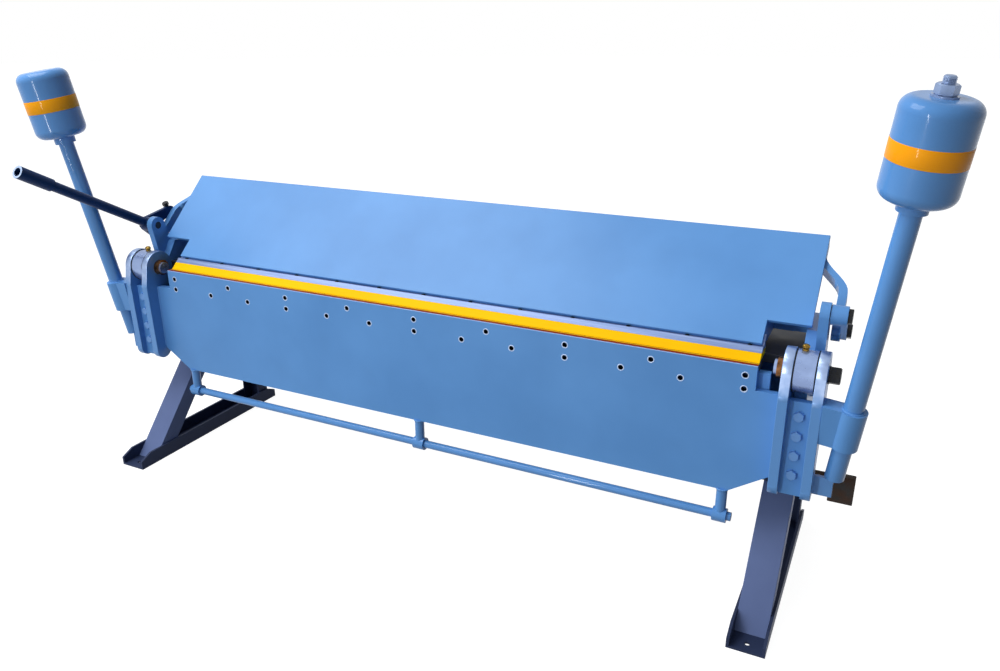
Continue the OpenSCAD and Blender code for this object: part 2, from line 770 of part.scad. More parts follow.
module lever_handle() {
    color(dark_blue) at_hinge() left() difference() {
        on_handle() difference() {
            cylinder(h = handle_reach, r = handle_r);
            translate([0, 0, -1]) cylinder(h = handle_reach + 2, r = handle_r - handle_wall);
        }
        bar_x(x_boss0 - far, x_crank1 + far, boss_r, pivot_y, pivot_z);
    }
}
module handle_grip() {
    color(dark_blue) at_hinge() left() on_handle() translate([0, 0, handle_reach - grip_len]) difference() {
        cylinder(h = grip_len, r = handle_r + grip_wall);
        translate([0, 0, -1]) cylinder(h = grip_len + 2, r = handle_r + still_fit);
    }
}
module adjusting_bolt() {
    color(black) at_hinge() left() on_horn() {
        translate([0, 0, -adjust_in]) cylinder(h = adjust_in + adjust_out + bolt_head, r = adjust_r);
        translate([0, 0, adjust_out]) cylinder(h = bolt_head, r = hex_r(3 * adjust_r), $fn = 6);
    }
}
module pivot_bolts() {
    color(black) at_hinge() both() {
        bar_x(x_side1, x_crank1 + side_play, pivot_r, pivot_y, pivot_z);
        hex_x(x_crank1 + side_play, x_crank1 + bolt_head, 2 * pivot_r + 10, pivot_y, pivot_z);
    }
}

left() base();  // base_left
base();  // base_right
left() front_leg();  // front_leg_left
front_leg();  // front_leg_right
left() rear_leg();  // rear_leg_left
rear_leg();  // rear_leg_right
stand_caps();
left() side_frame();  // side_frame_left
side_frame();  // side_frame_right
left() upright();  // upright_left
upright();  // upright_right
left() hinge_hub();  // hinge_hub_left
hinge_hub();  // hinge_hub_right
hinge_bushes();
hub_oilers();
bed_table();
bed_front_plate();
bed_rear_plate();
bed_bottom_plate();
pivot_bolts();
stop_bracket();
stop_block();
leaf_plate();
left() cheek_inner();  // cheek_inner_left
cheek_inner();  // cheek_inner_right
left() cheek_outer();  // cheek_outer_left
cheek_outer();  // cheek_outer_right
left() cheek_web();  // cheek_web_left
cheek_web();  // cheek_web_right
web_bolts();
hinge_pins();
pin_collars();
hinge_bolts();
left() arm_socket();  // arm_socket_left
arm_socket();  // arm_socket_right
left() weight_arm();  // weight_arm_left
weight_arm();  // weight_arm_right
left() weight();  // weight_left
weight();  // weight_right
weight_collars();
weight_washer();
weight_nut();
weight_stud();
truss_rod();
truss_posts();
nose_blade();
blade_holder();
clamp_plate();
beam_sole();
beam_back_plate();
beam_ribs();
left() lift_arm();  // lift_arm_left
lift_arm();  // lift_arm_right
lever_crank();
lever_handle();
handle_grip();
adjusting_bolt();
left() crank_pin();  // crank_pin_left
right_crank();
crank_pin();  // crank_pin_right
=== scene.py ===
"""Looks of the sheet metal folder: paint and metal finishes, welds, threads, bands, studio and camera."""
import json
import math

import bmesh
import bpy
import numpy as np
from mathutils import Matrix, Vector


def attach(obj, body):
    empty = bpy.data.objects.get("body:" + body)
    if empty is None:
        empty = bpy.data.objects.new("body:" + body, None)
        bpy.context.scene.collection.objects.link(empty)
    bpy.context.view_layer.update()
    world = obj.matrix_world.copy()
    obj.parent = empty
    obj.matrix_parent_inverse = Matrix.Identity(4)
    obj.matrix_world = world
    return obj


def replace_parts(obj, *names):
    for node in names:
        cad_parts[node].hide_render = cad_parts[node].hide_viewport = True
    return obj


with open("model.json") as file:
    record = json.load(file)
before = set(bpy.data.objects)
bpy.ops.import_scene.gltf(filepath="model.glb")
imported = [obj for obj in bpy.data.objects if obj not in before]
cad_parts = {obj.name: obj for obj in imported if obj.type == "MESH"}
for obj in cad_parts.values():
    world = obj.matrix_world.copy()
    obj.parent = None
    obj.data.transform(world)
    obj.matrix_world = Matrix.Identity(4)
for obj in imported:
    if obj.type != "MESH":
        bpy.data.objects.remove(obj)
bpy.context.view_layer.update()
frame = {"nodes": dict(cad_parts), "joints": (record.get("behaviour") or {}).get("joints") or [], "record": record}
nodes = frame["nodes"]
scene = bpy.context.scene
MM = 0.001
SIDES = ("left", "right")

# The hinge line, in metres. Sizes of the part are in mm, places in mm from that line, and angles in degrees.
hinge = np.array(frame["joints"][0]["pos_m"])

# Half of the bending edge. Then, along x: the inner cheek's inner face, the two ends of the hub between the
# cheeks, and the outer cheek's outer face.
HALF = 1025.0
X_IN, X_HUB0, X_HUB1, X_OUT = 1086.0, 1111.0, 1167.0, 1192.0
HUB_R = 55.0

# Leaf plate: its two faces, how far it hangs, and its tapped holes
LEAF_FRONT, LEAF_BACK, LEAF_DROP = -22.0, -2.0, 372.0
HOLE_R, HOLE_PITCH, HOLE_TOP, HOLE_ROWS = 7.5, 498.0, 29.0, 38.0

# Right weight arm: its foot, its radius, its lean to the front and outwards, and its reach to the middle of
# the weight
ARM_FOOT = np.array([1240.0, -26.0, -262.0])
ARM_R, ARM_FWD, ARM_OUT, ARM_REACH = 24.15, 7.2, 6.0, 846.0
WEIGHT_R, WEIGHT_H = 81.0, 218.0

# Socket of the arm: where it starts along the arm, and its height
SOCKET_START, SOCKET_H = 98.0, 107.0

# Stud, nut and washer on the right weight
STUD_R, STUD_PITCH, STUD_PROUD = 13.5, 3.0, 16.0
NUT_FLATS, NUT_H, WASHER_T = 41.0, 22.0, 4.0

# Bolts in the webs between the cheeks, and the bolts that end the hinge pins
WEB_FRONT, WEB_BOLT_TOP, WEB_BOLT_PITCH, WEB_BOLTS = -42.0, 106.0, 55.0, 4
WEB_FLATS, WEB_HEAD = 24.0, 10.0
HINGE_FLATS, HINGE_HEAD, HINGE_WASHER_T, HINGE_WASHER_R = 40.0, 29.0, 4.0, 23.0

# Posts of the truss rod
POST_X, POST_R = 965.0, 15.0

# Handle of the clamp lever, with the boss that it starts from and the grip at its end
HANDLE_FOOT = np.array([-1194.0, 75.0, 132.0])
HANDLE_R, HANDLE_ANGLE, HANDLE_REACH = 16.85, 29.3, 534.0
BOSS_R, HANDLE_BORE, GRIP_R = 26.0, 13.8, 20.8

# Adjusting screw in the horn of the lever's crank
HORN = np.array([-1212.0, 190.0, 162.0])
HORN_TILT, ADJUST_R, ADJUST_PITCH = 25.0, 7.0, 2.0
ADJUST_IN, ADJUST_OUT, ADJUST_HEAD = 30.0, 22.0, 11.0

# Slope of the clamp beam's top plate
BEAM_SLOPE = 43.2


def at(points):
    """Points in mm from the hinge line, as metres in the part's frame."""
    return np.asarray(points) * MM + hinge


def linear(code):
    """sRGB hex colour as linear RGBA: the two-part sRGB curve, undone."""
    srgb = np.array([int(code[i:i + 2], 16) / 255 for i in (1, 3, 5)])
    rgb = np.where(srgb <= 0.04045, srgb / 12.92, ((srgb + 0.055) / 1.055) ** 2.4)
    return (*rgb, 1.0)


def grey(value):
    """Linear grey, for ramps that carry a number."""
    return (value, value, value, 1.0)


def add(tree, kind, links=None, **settings):
    """One node: settings are attributes or inputs (_ for a space), links go from input to socket."""
    made = tree.nodes.new(kind)
    for name, value in settings.items():
        if hasattr(made, name):
            setattr(made, name, value)
        else:
            made.inputs[name.replace("_", " ")].default_value = value
    for name, socket in (links or {}).items():
        tree.links.new(socket, made.inputs[name])
    return made


def ramp(tree, factor, stops):
    """Colour ramp through (place, colour) stops."""
    made = add(tree, "ShaderNodeValToRGB", {"Fac": factor})
    elements = made.color_ramp.elements
    while len(elements) < len(stops):
        elements.new(0.5)
    for element, (place, colour) in zip(elements, stops):
        element.position = place
        element.color = colour
    return made.outputs["Color"]


def mix(tree, factor, first, second):
    """Colour that goes from first to second, each a socket or a colour."""
    made = add(tree, "ShaderNodeMix", {0: factor}, data_type="RGBA")
    for place, value in ((6, first), (7, second)):
        if isinstance(value, tuple):
            made.inputs[place].default_value = value
        else:
            tree.links.new(value, made.inputs[place])
    return made.outputs[2]


def noise(tree, place, size_mm, detail=2.0):
    """Noise with features of about that size, for coordinates in metres."""
    made = add(tree, "ShaderNodeTexNoise", {"Vector": place}, Scale=1 / (size_mm * MM), Detail=detail)
    return made.outputs["Fac"]


def begin(name):
    """New material: its tree, its shader and its coordinates."""
    material = bpy.data.materials.new(name)
    material.use_nodes = True
    tree = material.node_tree
    return material, tree, tree.nodes["Principled BSDF"], add(tree, "ShaderNodeTexCoord")


def relief(tree, shader, height, depth_mm, strength):
    """Bump of a height that swings by depth_mm."""
    bump = add(tree, "ShaderNodeBump", {"Height": height}, Strength=strength, Distance=depth_mm * MM)
    tree.links.new(bump.outputs["Normal"], shader.inputs["Normal"])


# Paint: sizes of its clouds, peel, dust and grime in mm.
# The orange peel is drawn about twice as coarse as real, so that it shows in the render.
CLOUD_MM, PEEL_MM, DUST_MM, GRIME_MM = 300.0, 4.0, 10.0, 120.0
PEEL_DEPTH_MM, PEEL_STRENGTH = 0.2, 0.3
GRIME = "#3b4658"
COAT_ROUGH = 0.06


def enamel(name, light, deep, rough, peel=PEEL_STRENGTH, grime=0.04, shine=0.4, coat=0.0):
    """Sprayed alkyd enamel on steel: satin colour with soft clouds, dust specks, faint grime, orange peel."""
    material, tree, shader, coords = begin(name)
    place = coords.outputs["Object"]
    colour = ramp(tree, noise(tree, place, CLOUD_MM, 3.0), [(0.35, linear(deep)), (0.65, linear(light))])
    specks = ramp(tree, noise(tree, place, DUST_MM, 4.0), [(0.68, grey(0.0)), (0.78, grey(0.3))])
    colour = mix(tree, specks, colour, linear(deep))
    smears = ramp(tree, noise(tree, place, GRIME_MM, 6.0), [(0.55, grey(0.0)), (0.85, grey(grime))])
    colour = mix(tree, smears, colour, linear(GRIME))
    tree.links.new(colour, shader.inputs["Base Color"])
    skin = noise(tree, place, PEEL_MM, 2.0)
    gloss = ramp(tree, skin, [(0.2, grey(rough - 0.05)), (0.8, grey(rough + 0.06))])
    tree.links.new(gloss, shader.inputs["Roughness"])
    shader.inputs["Specular IOR Level"].default_value = shine
    shader.inputs["Coat Weight"].default_value = coat
    shader.inputs["Coat Roughness"].default_value = COAT_ROUGH
    relief(tree, shader, skin, PEEL_DEPTH_MM, peel)
    return material


# Bare rims of the cheeks: size of their stains in mm, and how ragged the paint's edge is, in metres
STAIN_MM, RIM_RAGGED = 25.0, 0.03
RIM_ROUGH = 0.36


def rim_steel(name, steel, shadow, paint, low, high):
    """Flame-cut cheek: enamel on its faces and shank, worn to bare steel on the rim of its head.
    The bare part starts between the heights low and high, in metres, with a ragged edge."""
    material, tree, shader, coords = begin(name)
    place = coords.outputs["Object"]
    stain = noise(tree, place, STAIN_MM, 5.0)
    height = add(tree, "ShaderNodeSeparateXYZ", {"Vector": place}).outputs["Z"]
    ragged = add(tree, "ShaderNodeMath", {0: stain, 2: height}, operation="MULTIPLY_ADD")
    ragged.inputs[1].default_value = RIM_RAGGED
    raised = add(tree, "ShaderNodeMapRange", {"Value": ragged.outputs[0]}, From_Min=low, From_Max=high)
    sideways = add(tree, "ShaderNodeSeparateXYZ", {"Vector": coords.outputs["Normal"]}).outputs["X"]
    flat = add(tree, "ShaderNodeMath", {0: sideways}, operation="ABSOLUTE").outputs[0]
    edge = add(tree, "ShaderNodeMapRange", {"Value": flat}, From_Min=0.9, From_Max=0.5)
    bare = add(tree, "ShaderNodeMath", {0: raised.outputs["Result"], 1: edge.outputs["Result"]},
               operation="MULTIPLY").outputs[0]
    metal = ramp(tree, stain, [(0.35, linear(shadow)), (0.65, linear(steel))])
    tree.links.new(mix(tree, bare, linear(paint), metal), shader.inputs["Base Color"])
    tree.links.new(bare, shader.inputs["Metallic"])
    shader.inputs["Roughness"].default_value = RIM_ROUGH
    relief(tree, shader, noise(tree, place, PEEL_MM), PEEL_DEPTH_MM, PEEL_STRENGTH)
    return material


def mottled_metal(name, light, deep, rough, metallic, size_mm=14.0, depth_mm=0.12, stretch=(1, 1, 1)):
    """Metal with an uneven skin: two tones in blotches of about size_mm, and a bump a quarter of that size.
    A stretch below 1 along an axis draws the blotches out along it, as brushing does."""
    material, tree, shader, coords = begin(name)
    mapping = add(tree, "ShaderNodeMapping", {"Vector": coords.outputs["Object"]}, Scale=stretch)
    place = mapping.outputs["Vector"]
    blotch = noise(tree, place, size_mm, 5.0)
    colour = ramp(tree, blotch, [(0.35, linear(deep)), (0.65, linear(light))])
    tree.links.new(colour, shader.inputs["Base Color"])
    gloss = ramp(tree, blotch, [(0.3, grey(rough - 0.08)), (0.7, grey(rough + 0.08))])
    tree.links.new(gloss, shader.inputs["Roughness"])
    shader.inputs["Metallic"].default_value = metallic
    relief(tree, shader, noise(tree, place, size_mm / 4, 3.0), depth_mm, 0.3)
    return material


# Leaf's working edge: size of the patches that make its lines ragged, in mm, and how ragged its lines of paint
# are, in metres
RAGGED_MM, EDGE_RAGGED = 12.0, 0.001
# Yellow paint behind; a dark red line of painted shade with a painted reflection of the yellow nose; a pale blue
# painted highlight on the front corner
YELLOW, SHADE_REFLECTION_RED, HIGHLIGHT_BLUE = "#ffc800", "#7c1600", "#8fb9ee"


def edge_paint(name):
    """Enamel on the leaf's working edge: yellow behind, a dark red line of painted shade with a painted reflection
    of the yellow nose, and a pale blue painted highlight at the corner.
    """
    material, tree, shader, coords = begin(name)
    place = coords.outputs["Object"]
    depth = add(tree, "ShaderNodeSeparateXYZ", {"Vector": place}).outputs["Y"]
    ragged_noise = noise(tree, place, RAGGED_MM, 3.0)
    ragged = add(tree, "ShaderNodeMath", {0: ragged_noise, 2: depth}, operation="MULTIPLY_ADD")
    ragged.inputs[1].default_value = EDGE_RAGGED
    across_edge = add(tree, "ShaderNodeMapRange", {"Value": ragged.outputs[0]},
                      From_Min=hinge[1] + LEAF_FRONT * MM, From_Max=hinge[1] + LEAF_BACK * MM)
    shade_reflection = linear(SHADE_REFLECTION_RED)
    colour = ramp(tree, across_edge.outputs["Result"],
                  [(0.05, linear(HIGHLIGHT_BLUE)), (0.09, shade_reflection), (0.72, shade_reflection), (0.80, linear(YELLOW))])
    tree.links.new(colour, shader.inputs["Base Color"])
    shader.inputs["Specular IOR Level"].default_value = 0.15
    shader.inputs["Roughness"].default_value = 0.45
    return material


# Sprayed blue enamel on plate: satin, with soft clouds of tone
BLUE, BLUE_DEEP = "#6099d9", "#5890cf"
blue_enamel = enamel("blue_enamel", BLUE, BLUE_DEEP, 0.36, shine=0.25)
# The same paint on bolt heads, a little paler as painted highlight, so that their corners show
highlit_bolt_enamel = enamel("highlit_bolt_enamel", "#6b9cdb", "#6293d0", 0.34)
# Glossier coat on tubes and weights: a clear streak of light along each
gloss_enamel = enamel("blue_gloss_enamel", "#5a94d6", "#528ccc", 0.3, peel=0.2, shine=0.1, coat=0.35)
# Dark enamels of the lever and the stands: dull, with light on their edges only. On the lever's crank the navy is
# painted shade, and the darker slate is the stands' slate paint with painted shade
navy_enamel = enamel("navy_enamel", "#10366a", "#0c2b56", 0.38, shine=0.12)
slate_enamel = enamel("slate_enamel", "#6273a0", "#566690", 0.5, shine=0.15)
shaded_slate = enamel("shaded_slate_enamel", "#333e5c", "#2a3450", 0.5, shine=0.12)
# Warning colours: full and flat on the nose blade, a little glossier on the bands
yellow_enamel = enamel("yellow_enamel", YELLOW, "#ffbe00", 0.5, peel=0.1, grime=0.0, shine=0.05)
band_enamel = enamel("band_orange_enamel", "#ffae00", "#ffa000", 0.4, grime=0.0, shine=0.05, coat=0.2)
# Turned steel of the hubs: pale, cool and softly bright
hub_steel = mottled_metal("hub_turned_steel", "#97add6", "#8a9fcb", 0.30, 0.6, 45.0, 0.01)
# Flame-cut steel of the cheeks: painted flats, and bare rims that mirror the room
cheek_steel = rim_steel("cheek_steel", "#a3b7da", "#90a6cd", BLUE_DEEP, 0.650, 0.690)
# Black oxide on fasteners: nearly black, with a dull sheen
black_oxide = mottled_metal("black_oxide_steel", "#1b1e24", "#0c0e12", 0.42, 0.5)
# Turned bronze and brass: warm metal, browner where it is tarnished
turned_bronze = mottled_metal("turned_bronze", "#8f6440", "#5c3d24", 0.32, 1.0)
oiler_brass = mottled_metal("oiler_brass", "#a98a45", "#6f5726", 0.24, 1.0)
# Rusty iron of the stop: rough, brown to black, with hardly a shine
rusty_iron = mottled_metal("rusty_iron", "#3c281c", "#120f0e", 0.78, 0.15, 24.0, 0.8)
# Zinc plate on nut, stud and washer: pale grey, each facet with its own tone
zinc_plate = mottled_metal("zinc_plated_steel", "#8fa4c8", "#7a8dae", 0.32, 0.5, 30.0, 0.02)
# Edges where hands and screws have rubbed off the paint: thin pale rings, which on the leaf's holes are also
# painted highlight on their rims
rubbed_and_highlit_edge = mottled_metal("rubbed_and_highlit_hole_edge", "#c2d5f2", "#a4bde4", 0.40, 0.3)
# Brushed steel of the blade holder: fine streaks along its length
brushed_steel = mottled_metal("brushed_steel", "#8c9fc8", "#6d83b0", 0.46, 0.4, 6.0, 0.04, (0.02, 1, 1))
# Dark, dull steel of the bed: its darkness is painted shade, for the shade under the beam
bed_steel_shaded = mottled_metal("shaded_bed_steel", "#2c3340", "#1a1f29", 0.6, 0.2, 60.0, 0.05)
# Paint on the leaf's edge: lines of yellow, of dark red painted shade with a painted reflection, and of blue
# painted highlight, a little uneven
edge_enamel = edge_paint("leaf_edge_enamel")

FINISH_OF_SLOT = {
    "blue_paint": blue_enamel, "dark_blue_paint": navy_enamel, "slate_paint": slate_enamel,
    "machined_steel": hub_steel, "black_steel": black_oxide, "bronze": turned_bronze,
    "yellow_paint": yellow_enamel, "rusty_steel": rusty_iron, "weight_iron": gloss_enamel,
}
FINISH_OF_NODE = {
    "weight_washer": zinc_plate, "weight_collars": gloss_enamel, "truss_rod": gloss_enamel,
    "weight_arm_left": gloss_enamel, "weight_arm_right": gloss_enamel, "truss_posts": gloss_enamel,
    # The crank's navy is painted shade: the crank has the blue paint of the lift arms, darkened for its shade
    "lift_arm_left": blue_enamel, "lift_arm_right": blue_enamel, "lever_crank": navy_enamel,
    # The bed's dark steel is painted shade, for the shade under the beam
    "blade_holder": brushed_steel, "bed_table": bed_steel_shaded,
    # Bases, rear legs and caps: the stands' slate paint, darkened as painted shade
    "base_left": shaded_slate, "base_right": shaded_slate,
    "rear_leg_left": shaded_slate, "rear_leg_right": shaded_slate, "stand_caps": shaded_slate,
    "cheek_inner_left": cheek_steel, "cheek_inner_right": cheek_steel,
    "cheek_outer_left": cheek_steel, "cheek_outer_right": cheek_steel,
}
slot_of = {part["node"]: part["material_slot"] for part in frame["record"]["subparts"]}

# Broken edges, so that corners catch the light: width in mm by the start of the node's name
EDGE_MM = {"leaf_plate": 1.2, "clamp_plate": 1.5, "nose_blade": 0.8, "blade_holder": 0.8, "bed_table": 1.5,
           "base_": 1.5, "front_leg": 1.5, "rear_leg": 1.5, "stand_caps": 1.5, "stop_": 2.0, "cheek_": 1.5,
           "lift_arm": 1.5}
# Angles, in degrees, up to which faces are one flat and from which an edge is sharp, and a merging distance
FLAT_ANGLE, EDGE_ANGLE = 0.5, 35.0
WELD_MM = 0.01


def break_edges(node, width_mm):
    """Joins a node's loose triangles into whole faces and rounds its sharp edges."""
    node.modifiers.new("weld", "WELD").merge_threshold = WELD_MM * MM
    faces = node.modifiers.new("faces", "DECIMATE")
    faces.decimate_type = "DISSOLVE"
    faces.angle_limit = math.radians(FLAT_ANGLE)
    bevel = node.modifiers.new("edges", "BEVEL")
    bevel.width = width_mm * MM
    bevel.segments = 2
    bevel.limit_method = "ANGLE"
    bevel.angle_limit = math.radians(EDGE_ANGLE)
    bevel.harden_normals = True


for node_name, cad_node in nodes.items():
    cad_node.data.materials.clear()
    cad_node.data.materials.append(FINISH_OF_NODE.get(node_name, FINISH_OF_SLOT[slot_of[node_name]]))
    for start, width in EDGE_MM.items():
        if node_name.startswith(start):
            break_edges(cad_node, width)


def quads(rows, columns, wrap_rows, wrap_columns):
    """Faces of a grid of points, joined round where said."""
    index = np.arange(rows * columns).reshape(rows, columns)
    if wrap_rows:
        index = np.vstack([index, index[:1]])
    if wrap_columns:
        index = np.hstack([index, index[:, :1]])
    return np.stack([index[:-1, :-1], index[:-1, 1:], index[1:, 1:], index[1:, :-1]], axis=-1).reshape(-1, 4)


# Radius of the tiny ring that a turned shape ends in, in mm, and the distance that merges it to a point
POLE_R = 0.01
MERGE_MM = 0.03


def close_poles(mesh):
    """Merges each tiny ring of points at the end of a shape to one point."""
    work = bmesh.new()
    work.from_mesh(mesh)
    bmesh.ops.remove_doubles(work, verts=work.verts, dist=MERGE_MM * MM)
    work.to_mesh(mesh)
    work.free()


def show(name, grids, finish, body, wrap_rows=False, smooth=True):
    """Object from grids of points in metres, each wrapped round its columns."""
    points, faces, count = [], [], 0
    for grid in grids:
        points.append(grid.reshape(-1, 3))
        faces.append(quads(*grid.shape[:2], wrap_rows, True) + count)
        count += grid.shape[0] * grid.shape[1]
    mesh = bpy.data.meshes.new(name)
    mesh.from_pydata(np.vstack(points).tolist(), [], np.vstack(faces).tolist())
    close_poles(mesh)
    mesh.polygons.foreach_set("use_smooth", np.full(len(mesh.polygons), smooth))
    mesh.materials.append(finish)
    piece = bpy.data.objects.new(name, mesh)
    scene.collection.objects.link(piece)
    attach(piece, body)
    return piece


# An axis with more than this share along z takes x, and not z, as the helper that sets its cross directions
STEEP = 0.8


def across(axis):
    """Two unit vectors square to a unit axis and to each other."""
    helper = np.array([0.0, 0, 1]) if abs(axis[2]) < STEEP else np.array([1.0, 0, 0])
    first = np.cross(helper, axis)
    first /= np.linalg.norm(first)
    return first, np.cross(axis, first)


def turned(centre, axis, radius, height, angle):
    """Grid in mm: a point at radius and height (rows) about an axis through centre, at angle (columns)."""
    first, second = across(axis)
    radius, height, angle = np.broadcast_arrays(radius, height, angle)
    return (np.asarray(centre) + radius[..., None] * (np.cos(angle)[..., None] * first
            + np.sin(angle)[..., None] * second) + height[..., None] * axis)


def round_angles(count):
    """One row of angles, evenly round a full turn."""
    return np.linspace(0, 2 * math.pi, count, endpoint=False)[None, :]


def lathe(centre, axis, profile, count=72):
    """Profile of (radius, height) rows turned about an axis."""
    profile = np.asarray(profile, float)
    return turned(centre, axis, profile[:, :1], profile[:, 1:], round_angles(count))


# Hexagon heads: slope of the chamfer, its radius at the face as a share of the flats, points round, and
# the heights of the rows as shares of the whole
HEAD_SLOPE = math.tan(math.radians(30))
HEAD_FACE, HEAD_ROUND = 0.485, 72
HEAD_STEPS = np.array([0, 0, 0.08, 0.16, 0.5, 0.84, 0.92, 1, 1])


def hex_head(centre, axis, flats, height, double=False):
    """Hexagon head: a hexagon's radius, cut at 30 degrees by a cone at its top (and foot if double)."""
    angle = round_angles(HEAD_ROUND)
    hexagon = flats / 2 / np.cos((angle + math.pi / 6) % (math.pi / 3) - math.pi / 6)
    steps = HEAD_STEPS[:, None] * height
    cone = flats * HEAD_FACE + (height - steps) / HEAD_SLOPE
    if double:
        cone = np.minimum(cone, flats * HEAD_FACE + steps / HEAD_SLOPE)
    radius = np.minimum(hexagon, cone)
    radius[[0, -1]] = POLE_R
    return turned(centre, axis, radius, steps, angle)


# Threads, as shares of their pitch: depth, and how far the ends are coned in; points round and to a pitch
THREAD_DEPTH, THREAD_CONE = 0.6, 1.2
THREAD_ROUND, THREAD_STEPS = 36, 8


def thread(centre, axis, radius, start, end, pitch):
    """Threaded bar: the radius dips by a triangle wave that climbs a pitch a turn, and its ends are coned."""
    angle = round_angles(THREAD_ROUND)
    steps = np.linspace(start, end, int((end - start) / pitch * THREAD_STEPS) + 2)[:, None]
    wave = np.abs((steps / pitch - angle / (2 * math.pi)) % 1 - 0.5) * 2
    bar = radius - THREAD_DEPTH * pitch * wave
    bar = np.minimum(bar, radius - THREAD_CONE * pitch + np.minimum(steps - start, end - steps))
    pole = np.full((1, THREAD_ROUND), POLE_R)
    bar = np.vstack([pole, bar, pole])
    steps = np.vstack([steps[:1], steps, steps[-1:]])
    return turned(centre, axis, bar, steps, angle)


def carried(section, start, end, count=2):
    """Section of (y, z) points in mm, carried along x and drawn in to its middle at both ends, as metres."""
    section = np.array(section)
    stations = np.r_[start, np.linspace(start, end, count), end]
    grid = np.empty((len(stations), len(section), 3))
    grid[..., 0] = stations[:, None]
    grid[..., 1:] = section
    grid[[0, -1], :, 1:] = section.mean(axis=0)
    return at(grid)


# Weld beads: radius and pitch of the ripples in mm, and points to a ripple. Mean and swell are shares of
# the radius.
BEAD_R, RIPPLE_MM, RIPPLE_POINTS = 3.2, 4.5, 4
BEAD_MEAN, BEAD_SWELL = 0.9, 0.12
BEAD_ROUND = 10


def bead(path, closed=False):
    """Weld bead: a round section carried along a path, swelling a little at every ripple, as metres."""
    path = np.asarray(path, float)
    if closed:
        along = np.roll(path, -1, axis=0) - np.roll(path, 1, axis=0)
    else:
        along = np.gradient(path, axis=0)
    along /= np.linalg.norm(along, axis=1, keepdims=True)
    helper = np.where(np.abs(along[:, 2:]) < STEEP, [[0.0, 0, 1]], [[1.0, 0, 0]])
    first = np.cross(helper, along)
    first /= np.linalg.norm(first, axis=1, keepdims=True)
    second = np.cross(along, first)
    length = np.r_[0, np.cumsum(np.linalg.norm(np.diff(path, axis=0), axis=1))]
    radius = BEAD_R * (BEAD_MEAN + BEAD_SWELL * np.sin(2 * math.pi * length / RIPPLE_MM))
    if not closed:
        radius[[0, -1]] = POLE_R
    angle = round_angles(BEAD_ROUND)[..., None]
    section = np.cos(angle) * first[:, None] + np.sin(angle) * second[:, None]
    return at(path[:, None] + radius[:, None, None] * section)


def circle(centre, axis, radius):
    """Closed path round an axis, with about RIPPLE_POINTS points to a ripple."""
    count = int(2 * math.pi * radius / RIPPLE_MM) * RIPPLE_POINTS
    return turned(centre, axis, radius, 0.0, round_angles(count))[0]


def line(start, end):
    """Straight path, with about RIPPLE_POINTS points to a ripple."""
    count = int(np.linalg.norm(end - start) / RIPPLE_MM * RIPPLE_POINTS)
    return start + (end - start) * np.linspace(0, 1, count)[:, None]


def mirrored(point, side):
    """A point or axis on the right end, or its mirror image on the left end."""
    return np.asarray(point, float) * ([1, 1, 1] if side == "right" else [-1, 1, 1])


fwd, out = math.radians(ARM_FWD), math.radians(ARM_OUT)
ARM_AXIS = np.array([math.cos(fwd) * math.sin(out), -math.sin(fwd), math.cos(fwd) * math.cos(out)])
HANDLE_AXIS = np.array([0, -math.cos(math.radians(HANDLE_ANGLE)), math.sin(math.radians(HANDLE_ANGLE))])
HORN_AXIS = np.array([0, -math.sin(math.radians(HORN_TILT)), math.cos(math.radians(HORN_TILT))])
OUTWARD, FRONT, UP = np.array([1.0, 0, 0]), np.array([0.0, -1, 0]), np.array([0.0, 0, 1])

# Painted bands round the counterweights: width, how proud the paint stands, how deep it roots, its soft edge
BAND_W, BAND_PROUD, BAND_ROOT, BAND_SOFT = 42.0, 0.5, 1.0, 0.2
half_band, band_r, root_r = BAND_W / 2, WEIGHT_R + BAND_PROUD, WEIGHT_R - BAND_ROOT
band = [[root_r, -half_band], [band_r - BAND_SOFT, -half_band], [band_r, -half_band + 2 * BAND_SOFT],
        [band_r, half_band - 2 * BAND_SOFT], [band_r - BAND_SOFT, half_band], [root_r, half_band]]
for side in SIDES:
    middle = mirrored(ARM_FOOT + ARM_AXIS * ARM_REACH, side)
    hoop = at(lathe(middle, mirrored(ARM_AXIS, side), band, 128))
    show("weight_band_" + side, [hoop], band_enamel, "folding_leaf", wrap_rows=True)

# Stud and nut on the right weight
top = ARM_FOOT + ARM_AXIS * (ARM_REACH + WEIGHT_H / 2)
stud_end = WASHER_T + NUT_H + STUD_PROUD
stud = show("threaded_stud", [at(thread(top, ARM_AXIS, STUD_R, 0.0, stud_end, STUD_PITCH))],
            zinc_plate, "folding_leaf")
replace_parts(stud, "weight_stud")
nut_foot = top + ARM_AXIS * WASHER_T
nut = show("chamfered_nut", [at(hex_head(nut_foot, ARM_AXIS, NUT_FLATS, NUT_H, double=True))],
           zinc_plate, "folding_leaf", smooth=False)
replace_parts(nut, "weight_nut")

# Oilers on the hubs: a hexagon foot sunk into the hub, a neck and a domed cap
OILER_X, OILER_SUNK, OILER_FLATS, OILER_FOOT = 1131.0, 1.0, 15.0, 6.0
NECK_R, NECK_Z0, NECK_Z1, CAP_R = 5.5, 4.0, 8.0, 9.5
dome = [[POLE_R, NECK_Z0], [NECK_R, NECK_Z0], [NECK_R, NECK_Z1], [CAP_R, 8.5], [CAP_R + 0.3, 10],
        [CAP_R, 13.5], [7.5, 16.5], [4.0, 18], [POLE_R, 18.5]]
oilers = []
for side in SIDES:
    foot = mirrored((OILER_X, 0, HUB_R - OILER_SUNK), side)
    oilers.append(at(hex_head(foot, UP, OILER_FLATS, OILER_FOOT)))
    oilers.append(at(lathe(foot, UP, dome, 40)))
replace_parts(show("oiler_caps", oilers, oiler_brass, "frame"), "hub_oilers")

